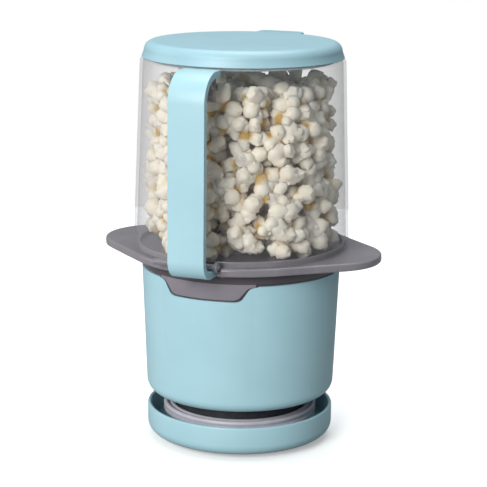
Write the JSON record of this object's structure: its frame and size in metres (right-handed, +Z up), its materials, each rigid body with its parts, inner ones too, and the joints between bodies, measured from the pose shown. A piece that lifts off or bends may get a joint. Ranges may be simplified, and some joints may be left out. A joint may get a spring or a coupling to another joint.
{
  "type": "popcorn maker",
  "caption": "Small hot-air popcorn maker: motor base on a shallow cord pan, eared smoky tray, clear container with a strap handle on a front hinge pin, lift-off lid.",
  "frame": {"origin": "centre of the rubber pad's underside, on the machine's axis at table level", "axes": "+Z up along the machine's axis; -Y towards the handle and the badge; +X towards the right-hand ear of the tray"},
  "size_m": [0.202, 0.266, 0.2802],
  "materials": {
    "aqua_plastic": "satin moulded ABS",
    "smoky_plastic": "glossy smoke-tinted, slightly see-through",
    "clear_plastic": "clear glossy copolyester",
    "dark_plastic": "matt heat-proof nylon",
    "grey_cord": "satin flexible vinyl",
    "rubber": "matt",
    "steel": "zinc-plated",
    "pin_grey": "grey acetal",
    "brass": "bright",
    "aluminium": "drawn, satin",
    "mica": "flaky mica sheet",
    "heater_wire": "oxidised nichrome",
    "silicone": "matt, milky",
    "circuit_board": "green solder mask"
  },
  "bodies": {
    "base": {"foot_pad": "rubber", "cord_pan": "aqua_plastic", "cord_spool": "dark_plastic", "strain_relief": "rubber", "pan_screw_1": "steel", "pan_screw_2": "steel", "pan_screw_3": "steel", "cord_winding": "grey_cord", "cord_tail": "grey_cord", "plug_body": "grey_cord", "plug_blade_left": "brass", "plug_blade_right": "brass", "base_shell": "aqua_plastic", "top_collar": "smoky_plastic", "base_plate": "dark_plastic", "spool_screw_1": "steel", "spool_screw_2": "steel", "spool_screw_3": "steel", "motor_end_cap": "dark_plastic", "motor_can": "steel", "shaft_bush": "brass", "motor_bracket": "steel", "mica_board_across": "mica", "mica_board_along": "mica", "heater_coil": "heater_wire", "air_duct": "aluminium", "popping_chamber": "aluminium", "chamber_gasket": "silicone", "thermostat": "steel", "thermal_fuse": "silicone", "rectifier_board": "circuit_board", "terminal_block": "dark_plastic"},
    "fan_rotor": {"fan_impeller": "dark_plastic", "motor_shaft": "steel"},
    "tray": {"tray": "smoky_plastic", "hinge_pin": "pin_grey"},
    "container": {"container": "clear_plastic", "handle": "aqua_plastic", "handle_core": "clear_plastic", "handle_screw_left": "steel", "handle_screw_right": "steel"},
    "lid": {"lid": "aqua_plastic", "lid_seal": "silicone"}
  },
  "joints": [
    {"name": "tray_lift", "type": "slide", "parent": "base", "child": "tray", "axis": [0, 0, 1], "range_m": [0, 0.1]},
    {"name": "container_tip", "type": "hinge", "parent": "tray", "child": "container", "pos_m": [0, -0.0802, 0.1397], "axis": [1, 0, 0], "range_deg": [0, 95]},
    {"name": "lid_lift", "type": "slide", "parent": "container", "child": "lid", "axis": [0, 0, 1], "range_m": [0, 0.05]},
    {"name": "fan_spin", "type": "hinge", "parent": "base", "child": "fan_rotor", "pos_m": [0, 0, 0.06], "axis": [0, 0, 1], "continuous": true}
  ]
}
